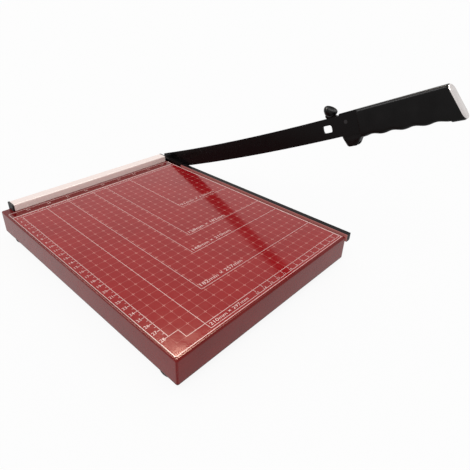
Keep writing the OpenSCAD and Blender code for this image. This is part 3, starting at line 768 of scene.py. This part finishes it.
def half_grip(name, u0, thick, side, edge):
    """Sections (x, v) carried from u0 to the leaning end; side is +1 to the right.

    A section is a flat inner wall, then a round corner of radius edge, a face that swells
    by a sine, and another round corner. Both ends are drawn in by quarter circles.
    """
    phi = np.linspace(0, np.pi / 2, EDGE_ROWS)
    body = np.linspace(0, 1, BODY_ROWS)
    s = np.concatenate([np.zeros(EDGE_ROWS - 1), body, np.ones(EDGE_ROWS - 1)])
    inset = np.concatenate([SOFT * (1 - np.sin(phi[:-1])), np.zeros(BODY_ROWS),
                            SOFT * (1 - np.cos(phi[1:]))])
    push = np.concatenate([SOFT * (1 - np.cos(phi[:-1])), np.full(BODY_ROWS, SOFT),
                           SOFT * (1 + np.sin(phi[1:]))])
    a = np.linspace(0, np.pi / 2, 9)
    t = np.linspace(0, 1, 11)[1:-1]
    lip, swell = 0.25, 0.35
    rows = []
    for part, e, ahead in zip(s, inset, push):
        nominal = u0 + part * (GRIP_U + GRIP_L + LEAN * LEAN_REACH - u0)
        top, low = grip_top(nominal), float(grip_belly(np.array(nominal)))
        out, high, deep = thick - e, top - e - edge, low + e + edge
        loop = np.concatenate([
            [(0.0, low + e + lip), (0.0, top - e - lip), (lip, top - e)],
            np.column_stack([out - edge + edge * np.sin(a), high + edge * np.cos(a)]),
            np.column_stack([np.full(len(t), out), high + t * (deep - high)]),
            np.column_stack([out - edge + edge * np.cos(a), deep - edge * np.sin(a)]),
            [(lip, low + e)]])
        fullness = np.sin(np.pi * np.clip((loop[:, 1] - low) / (top - low), 0, 1))
        x = SPLIT + side * loop[:, 0] * (1 - swell / thick * (1 - fullness))
        end_u = GRIP_U + GRIP_L + LEAN * (grip_top(GRIP_U + GRIP_L) - loop[:, 1])
        u = u0 + ahead + part * (end_u - u0 - 2 * SOFT)
        rows.append(on_arm(x, u, loop[:, 1]))
    return skin(name, np.array(rows), smooth_below=40)


grip_left = half_grip("grip_left_shell", 312.2, 4.0, -1, 3.2)
grip_right = half_grip("grip_right_shell", GRIP_U, 9.0, 1, 4.6)
print("grip faces:", len(grip_left.data.polygons), len(grip_right.data.polygons))

# %% [markdown]
# The right half also has the finger guard, a slot for the safety lever and three screw
# wells. A moulding like that is a sum and a difference of simpler shapes, so the guard is
# united with the shell and the slot and wells are cut out of it.

# %% Finger guard, slot and wells
BRACE = 0.3


def drawn_in(loop, e):
    """A closed 2-D loop moved inwards by e along its own normals."""
    ahead = np.roll(loop, -1, 0) - np.roll(loop, 1, 0)
    normal = np.column_stack([-ahead[:, 1], ahead[:, 0]])
    normal /= np.linalg.norm(normal, axis=1, keepdims=True)
    area = np.sum(loop[:, 0] * np.roll(loop[:, 1], -1) - loop[:, 1] * np.roll(loop[:, 0], -1))
    return loop + normal * e * (1 if area > 0 else -1)


def plate(name, loop, x0, x1, soft):
    """A loop in (u, v) run from x0 to x1 with its two rims rounded by quarter circles.

    Two more rows just inside the rims keep the wall between them shaded flat.
    """
    phi = np.linspace(0, np.pi / 2, 5)
    rows = [on_arm(x0 + soft * (1 - np.cos(p)), *drawn_in(loop, soft * (1 - np.sin(p))).T)
            for p in phi]
    rows += [on_arm(x, *loop.T) for x in (x0 + soft + BRACE, x1 - soft - BRACE)]
    rows += [on_arm(x1 - soft * (1 - np.cos(p)), *drawn_in(loop, soft * (1 - np.sin(p))).T)
             for p in phi[::-1]]
    return skin(name, np.array(rows), smooth_below=40)


def combine(target, other, operation):
    """Adds or cuts another closed mesh and keeps only the result."""
    cut = target.modifiers.new("combine", "BOOLEAN")
    cut.operation, cut.solver, cut.object = operation, "MANIFOLD", other
    bpy.context.view_layer.update()
    graph = bpy.context.evaluated_depsgraph_get()
    mesh = bpy.data.meshes.new_from_object(target.evaluated_get(graph))
    target.modifiers.clear()
    old, target.data = target.data, mesh
    bpy.data.meshes.remove(old)
    bpy.data.meshes.remove(other.data)
    mesh.shade_smooth()
    mesh.set_sharp_from_angle(angle=math.radians(40))


GUARD = [(289.9, -6), (290.6, -12.5), (294.0, -20.8), (295.6, -22), (303.6, -22),
         (305.8, -20.6), (311.4, -12.6), (311.4, -6)]
guard = plate("guard", closed_round(GUARD, 2.2), SPLIT + 0.02, SPLIT + 8.9, 1.4)
combine(grip_right, guard, "UNION")
LEVER_X0, LEVER_X1 = (b[0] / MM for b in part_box("catch_lever"))
SLOT = [(285, -30), (307.1, -30), (307.1, 22), (285, 22)]
slot = plate("slot", closed_round(SLOT, 0.6), LEVER_X0 - 0.2, LEVER_X1 + 0.2, 0.1)
combine(grip_right, slot, "DIFFERENCE")
WELLS, WELL_R = (322.5, 343.5, 364.5), 4.1
for screw_u in WELLS:
    ring = [(screw_u + WELL_R * math.cos(b), WELL_R * math.sin(b))
            for b in np.linspace(0, 2 * np.pi, 41)[:-1]]
    well = plate("well", np.array(ring), SPLIT + 6.0, SPLIT + 12, 0.05)
    combine(grip_right, well, "DIFFERENCE")
for piece, node in ((grip_left, "grip_left"), (grip_right, "grip_right")):
    piece.data.materials.clear()
    piece.data.materials.append(grip_black)
    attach(piece, "blade_arm")
    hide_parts(node)
print("right grip faces after cutting:", len(grip_right.data.polygons))

# %% [markdown]
# ## The end cap
# A silver-plated oval closes the leaning end. Its outline is a stadium, two half circles and
# two straight runs, and every ring is that outline drawn in a little: a soft rim, a fine
# decorative groove and a nearly flat middle.

# %% End cap
CAP_W, CAP_L, CAP_SHIFT = 12.0, 32.4, 2.5
END_V = (grip_top(GRIP_U + GRIP_L) - COLLAR_V) / 2
END_U = GRIP_U + GRIP_L + LEAN * (grip_top(GRIP_U + GRIP_L) - END_V)
END_TILT = math.atan(LEAN)


def oval(e, count=48):
    """A stadium outline drawn in by e: half circles on the ends of two straight runs."""
    r, run = CAP_W / 2 - e, (CAP_L - CAP_W) / 2
    a = np.linspace(0, np.pi, count // 2)
    upper = np.column_stack([r * np.cos(a), run + r * np.sin(a)])
    return np.concatenate([upper, -upper])


cap_profile = [(0.5, -0.3), (0.0, 0.05), (0.0, 0.45), (0.12, 0.75), (0.4, 0.98), (0.9, 1.1),
               (1.6, 1.14), (1.75, 0.98), (2.0, 0.9), (2.25, 0.98), (2.4, 1.15), (3.6, 1.19),
               (5.0, 1.2)]
cap_rows = []
for e, rise in cap_profile:
    a, b = oval(e).T
    cap_u = END_U + rise * math.cos(END_TILT) - b * math.sin(END_TILT)
    cap_v = END_V + rise * math.sin(END_TILT) + b * math.cos(END_TILT)
    cap_rows.append(on_arm(SPLIT + CAP_SHIFT + a, cap_u, cap_v))
end_cap = skin("silver_end_cap", np.array(cap_rows), smooth_below=40)
end_cap.data.materials.append(cap_silver)
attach(end_cap, "blade_arm")
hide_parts("grip_end_cap")
print("cap faces:", len(end_cap.data.polygons))

# %% [markdown]
# ## The thumb knob
# The safety catch is worked by a round knob with a dished face. It is a turned shape whose
# axis leans towards the grip.

# %% Knob
KNOB_U, KNOB_V, KNOB_TILT = 280.6, 16.9, math.radians(50)
KNOB_X = (LEVER_X0 + LEVER_X1) / 2
knob_at = on_arm(KNOB_X, KNOB_U, KNOB_V) / MM
knob_tip = on_arm(KNOB_X, KNOB_U + math.cos(KNOB_TILT), KNOB_V + math.sin(KNOB_TILT))
knob_out = knob_tip / MM - knob_at
knob_profile = rounded([(0.05, -4.4), (4.2, -4.4), (5.4, -3.0), (6.4, -1.6), (7.0, -0.2),
                        (7.2, 1.2), (7.1, 2.4), (6.5, 3.3), (5.7, 3.6), (4.8, 3.3), (3.0, 2.6),
                        (0.05, 2.3)], 0.6, 4)
knob = skin("thumb_knob_turned", lathe(knob_profile, knob_at, knob_out, 72), smooth_below=50)
knob.data.materials.append(grip_black)
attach(knob, "safety_catch")
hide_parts("thumb_knob")
print("knob centre mm:", np.round(knob_at, 1))

# %% [markdown]
# ## The pivot
# A shoulder bolt carries the blade, and a coil spring under its head presses the blade
# against the counter blade. The bolt is turned, with a six-sided key hole whose ring is a
# circle bent into a hexagon. The spring is a tube along a helix, flat for half a turn at
# each end.

# %% Bolt and spring
BOLT_LOW, BOLT_HIGH = (np.array(b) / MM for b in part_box("pivot_bolt"))
SPRING_LOW, SPRING_HIGH = (np.array(b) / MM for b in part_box("pivot_spring"))
SHOULDER_X = 129.6


def bolt():
    """Turned rows of (radius, x, hexness); hexness 1 makes the ring a hexagon."""
    x0, head, x1 = BOLT_LOW[0], SPRING_HIGH[0], BOLT_HIGH[0]
    rows = [(0.05, x0, 0), (2.9, x0, 0), (2.95, SHOULDER_X, 0), (4, SHOULDER_X + 0.1, 0),
            (4, head - 0.05, 0), (7.2, head, 0), (7.45, head + 0.25, 0), (7.5, head + 0.6, 0),
            (7.5, head + 2.4, 0), (7.2, x1 - 1.3, 0), (6.2, x1 - 0.35, 0), (5.2, x1, 0),
            (3.0, x1, 1), (2.75, x1 - 0.3, 1), (2.75, x1 - 2.4, 1), (0.05, x1 - 2.7, 0)]
    a = np.linspace(0, 2 * np.pi, 72, endpoint=False)
    bend = 1 / np.cos((a + np.pi / 6) % (np.pi / 3) - np.pi / 6)
    r, x, hexed = np.array(rows).T
    radius = r[:, None] * (1 + hexed[:, None] * (bend[None] - 1) * 0.95)
    grid = np.empty(radius.shape + (3,))
    grid[..., 0] = x[:, None]
    grid[..., 1] = PIVOT[1] + radius * np.cos(a)
    grid[..., 2] = PIVOT[2] + radius * np.sin(a)
    return grid * MM


def spring():
    """Helix x = rise of the turn angle, flat for half a turn at each end, with a round wire."""
    wire, turns, steps = 0.8, 3, 150
    mid_r = (SPRING_HIGH[1] - SPRING_LOW[1]) / 2 - wire
    angle = np.linspace(0, turns * 2 * np.pi, steps)
    rise = SPRING_HIGH[0] - SPRING_LOW[0] - 2 * wire
    along = np.clip((angle - np.pi) / (turns * 2 * np.pi - 2 * np.pi), 0, 1)
    b = np.linspace(0, 2 * np.pi, 16, endpoint=False)
    r = mid_r + wire * np.cos(b)
    grid = np.empty((steps, 16, 3))
    grid[..., 0] = SPRING_LOW[0] + wire + (along * rise)[:, None] + wire * np.sin(b)
    grid[..., 1] = PIVOT[1] - np.sin(angle)[:, None] * r
    grid[..., 2] = PIVOT[2] + np.cos(angle)[:, None] * r
    return grid * MM


pivot_bolt = skin("shoulder_bolt", bolt(), smooth_below=40)
pivot_spring = skin("coil_spring", spring(), smooth_below=60)
for piece, finish, node, slot_name in ((pivot_bolt, bright_steel, "pivot_bolt", "bolt_steel"),
                                       (pivot_spring, spring_wire, "pivot_spring", "spring_steel")):
    piece.data.materials.append(finish)
    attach(piece, "base")
    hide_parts(node)
print("pivot at mm:", np.round(PIVOT, 2))

# %% [markdown]
# ## The blade's finish
# The blade's shape is exact already, so it only needs its finish: black gloss, and bare
# ground steel along the cutting edge. The edge is an arc of a very large circle, so the
# bevel is wherever a point is nearly that circle's radius from its centre. These sizes are
# in metres, as the material's own coordinates are.

# %% Blade finish
EDGE_RADIUS, EDGE_MIDDLE, EDGE_SAG = 3.4, 0.159, 0.0128
BEVEL, FACE_SKIN = 0.00175, 0.00004


def blade_finish():
    """Black gloss, with bare steel near the edge's arc except on the flat left face."""
    f = Finish("blade_black_and_edge")
    split = f.node("SeparateXYZ", None, i0=f.coords)
    c, s = math.cos(RAISE), math.sin(RAISE)
    y = f.math("SUBTRACT", split.outputs[1], PIVOT[1] * MM)
    z = f.math("SUBTRACT", split.outputs[2], PIVOT[2] * MM)
    u = f.math("SUBTRACT", f.math("MULTIPLY", z, s), f.math("MULTIPLY", y, c))
    v = f.math("ADD", f.math("MULTIPLY", z, c), f.math("MULTIPLY", y, s))
    du = f.math("SUBTRACT", u, EDGE_MIDDLE)
    dv = f.math("SUBTRACT", v, EDGE_RADIUS - EDGE_SAG)
    radius = f.math("SQRT", f.math("ADD", f.math("MULTIPLY", du, du), f.math("MULTIPLY", dv, dv)))
    off_face = f.math("GREATER_THAN", split.outputs[0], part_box("blade")[0][0] + FACE_SKIN)
    ground = f.math("MULTIPLY", f.math("GREATER_THAN", radius, EDGE_RADIUS - BEVEL), off_face)
    black = f.mix(f.ramp(f.noise(40), 0.0, 1.0), shade(10, 7, 8), shade(8, 6, 6))
    steel = f.mix(f.ramp(f.noise(900, 3.0, (1, 0.05, 0.05)), 0.0, 1.0), shade(176, 176, 178),
                  shade(128, 128, 131))
    f.set(Base_Color=f.mix(ground, black, steel), Metallic=ground)
    f.set(Roughness=f.ramp(f.noise(110), 0.22, 0.29), Specular_IOR_Level=0.1)
    f.bump(f.noise(240, 2.0), 0.2, 0.00002)
    return f.mat


blade_mat = blade_finish()
kept = {
    "grid_film": film_mat, "counter_blade": bar_steel, "counter_blade_screws": zinc,
    "front_channel": under_paint, "rear_channel": under_paint, "foot_screws": zinc,
    "fence_cap_left": cap_black, "fence_cap_right": cap_black, "fence_screws": zinc,
    "pivot_block": arm_black, "pivot_block_screws": zinc, "pivot_washer": bright_steel,
    "catch_keeper": zinc, "keeper_screws": zinc, "blade": blade_mat, "grip_screws": black_oxide,
    "catch_pin": black_oxide, "catch_lever": arm_black,
}
for node, finish in kept.items():
    mesh = frame["nodes"][node].data
    mesh.materials.clear()
    mesh.materials.append(finish)
print("kept nodes:", len(kept))

# %% [markdown]
# ## Floor and light
# The cutter stands on a plain white floor in an even white room. Shiny surfaces look right
# only when they have something to reflect, so the room is white to the camera and to
# mirror-like rays, while the light that falls on the matt surfaces is set apart from it.
# Two softboxes are seen in reflections only: one brightens the left front corner, the other
# stands where the grip's upper edge mirrors it to the camera.

# %% Floor
FLOOR_Z, FLOOR_HALF = cad_low[2] - 0.0002, 30
FLOOR_GLOW = 0.9
floor = build("floor", [(x * FLOOR_HALF, y * FLOOR_HALF, FLOOR_Z)
                        for x, y in ((-1, -1), (1, -1), (1, 1), (-1, 1))],
              [(0, 1, 2, 3)], recalc=False)


def seeing_rays(tree):
    """One for the camera's rays and for mirrored or transmitted ones, nought for all others."""
    path = tree.nodes.new("ShaderNodeLightPath")
    seen = path.outputs["Is Camera Ray"]
    for kind in ("Is Glossy Ray", "Is Transmission Ray"):
        larger = tree.nodes.new("ShaderNodeMath")
        larger.operation = "MAXIMUM"
        tree.links.new(seen, larger.inputs[0])
        tree.links.new(path.outputs[kind], larger.inputs[1])
        seen = larger.outputs[0]
    return seen


def floor_finish():
    """White paper floor; the camera and mirror rays see most of it as plain white."""
    f = Finish("white_floor")
    f.set(Base_Color=(0.9, 0.9, 0.9, 1), Roughness=0.9, Specular_IOR_Level=0.0)
    glow = f.tree.nodes.new("ShaderNodeEmission")
    glow.inputs["Strength"].default_value = 1.0
    blend = f.tree.nodes.new("ShaderNodeMixShader")
    f.join(f.math("MULTIPLY", seeing_rays(f.tree), FLOOR_GLOW), blend.inputs[0])
    f.join(f.shader.outputs[0], blend.inputs[1])
    f.join(glow.outputs[0], blend.inputs[2])
    f.join(blend.outputs[0], f.tree.nodes["Material Output"].inputs["Surface"])
    return f.mat


floor.data.materials.append(floor_finish())

# %% Room and lamps
world = bpy.data.worlds.new("white_room")
bpy.context.scene.world = world
world.use_nodes = True
tree = world.node_tree
sky = tree.nodes["Background"]
sky.inputs["Color"].default_value = (1, 1, 1, 1)
level = tree.nodes.new("ShaderNodeMapRange")
level.inputs["To Min"].default_value = 0.62
level.inputs["To Max"].default_value = 1.0
tree.links.new(seeing_rays(tree), level.inputs["Value"])
tree.links.new(level.outputs[0], sky.inputs["Strength"])


def lamp(name, kind, place, target, power, size):
    """A lamp at a place, aimed at a target; size is an angle for the sun, else two sides."""
    light = bpy.data.lights.new(name, kind)
    light.energy = power
    if kind == "AREA":
        light.shape, light.size, light.size_y = "RECTANGLE", *size
    else:
        light.angle = size
    obj = bpy.data.objects.new(name, light)
    obj.location = place
    obj.rotation_euler = (Vector(target) - Vector(place)).to_track_quat("-Z", "Y").to_euler()
    bpy.context.scene.collection.objects.link(obj)
    return obj


lamp("soft_key", "SUN", (-0.7, -0.3, 1.1), (0, 0, 0), 1.1, math.radians(40))
corner = Vector((LOW[0], LOW[1], 0)) * MM
to_corner = corner - camera.location
bounce = Vector((to_corner.x, to_corner.y, -to_corner.z)).normalized()
LAMP_AWAY, LAMP_LIFT, GRIP_LAMP_AWAY = 1.3, 0.22, 1.2
spot = corner + bounce * LAMP_AWAY + Vector((0, 0, LAMP_LIFT))
softbox = lamp("corner_softbox", "AREA", spot, corner, 24.0, (0.42, 0.28))
softbox.data.color = (1.0, 0.9, 0.78)

edge_place = Vector(on_arm(SPLIT, GRIP_U + GRIP_L / 2, GRIP_TOP).tolist())
edge_lean = math.radians(28)
edge_out = Vector((-math.cos(edge_lean), math.sin(RAISE) * math.sin(edge_lean),
                   math.cos(RAISE) * math.sin(edge_lean)))
to_camera = (camera.location - edge_place).normalized()
mirrored = 2 * edge_out.dot(to_camera) * edge_out - to_camera
rim_light = lamp("grip_softbox", "AREA", edge_place + mirrored * GRIP_LAMP_AWAY,
                 edge_place, 9.0, (0.7, 0.3))
for light in (softbox, rim_light):
    light.visible_diffuse = False

view = bpy.context.scene.view_settings
view.view_transform = "Standard"
print("softbox at m:", [round(v, 2) for v in spot])
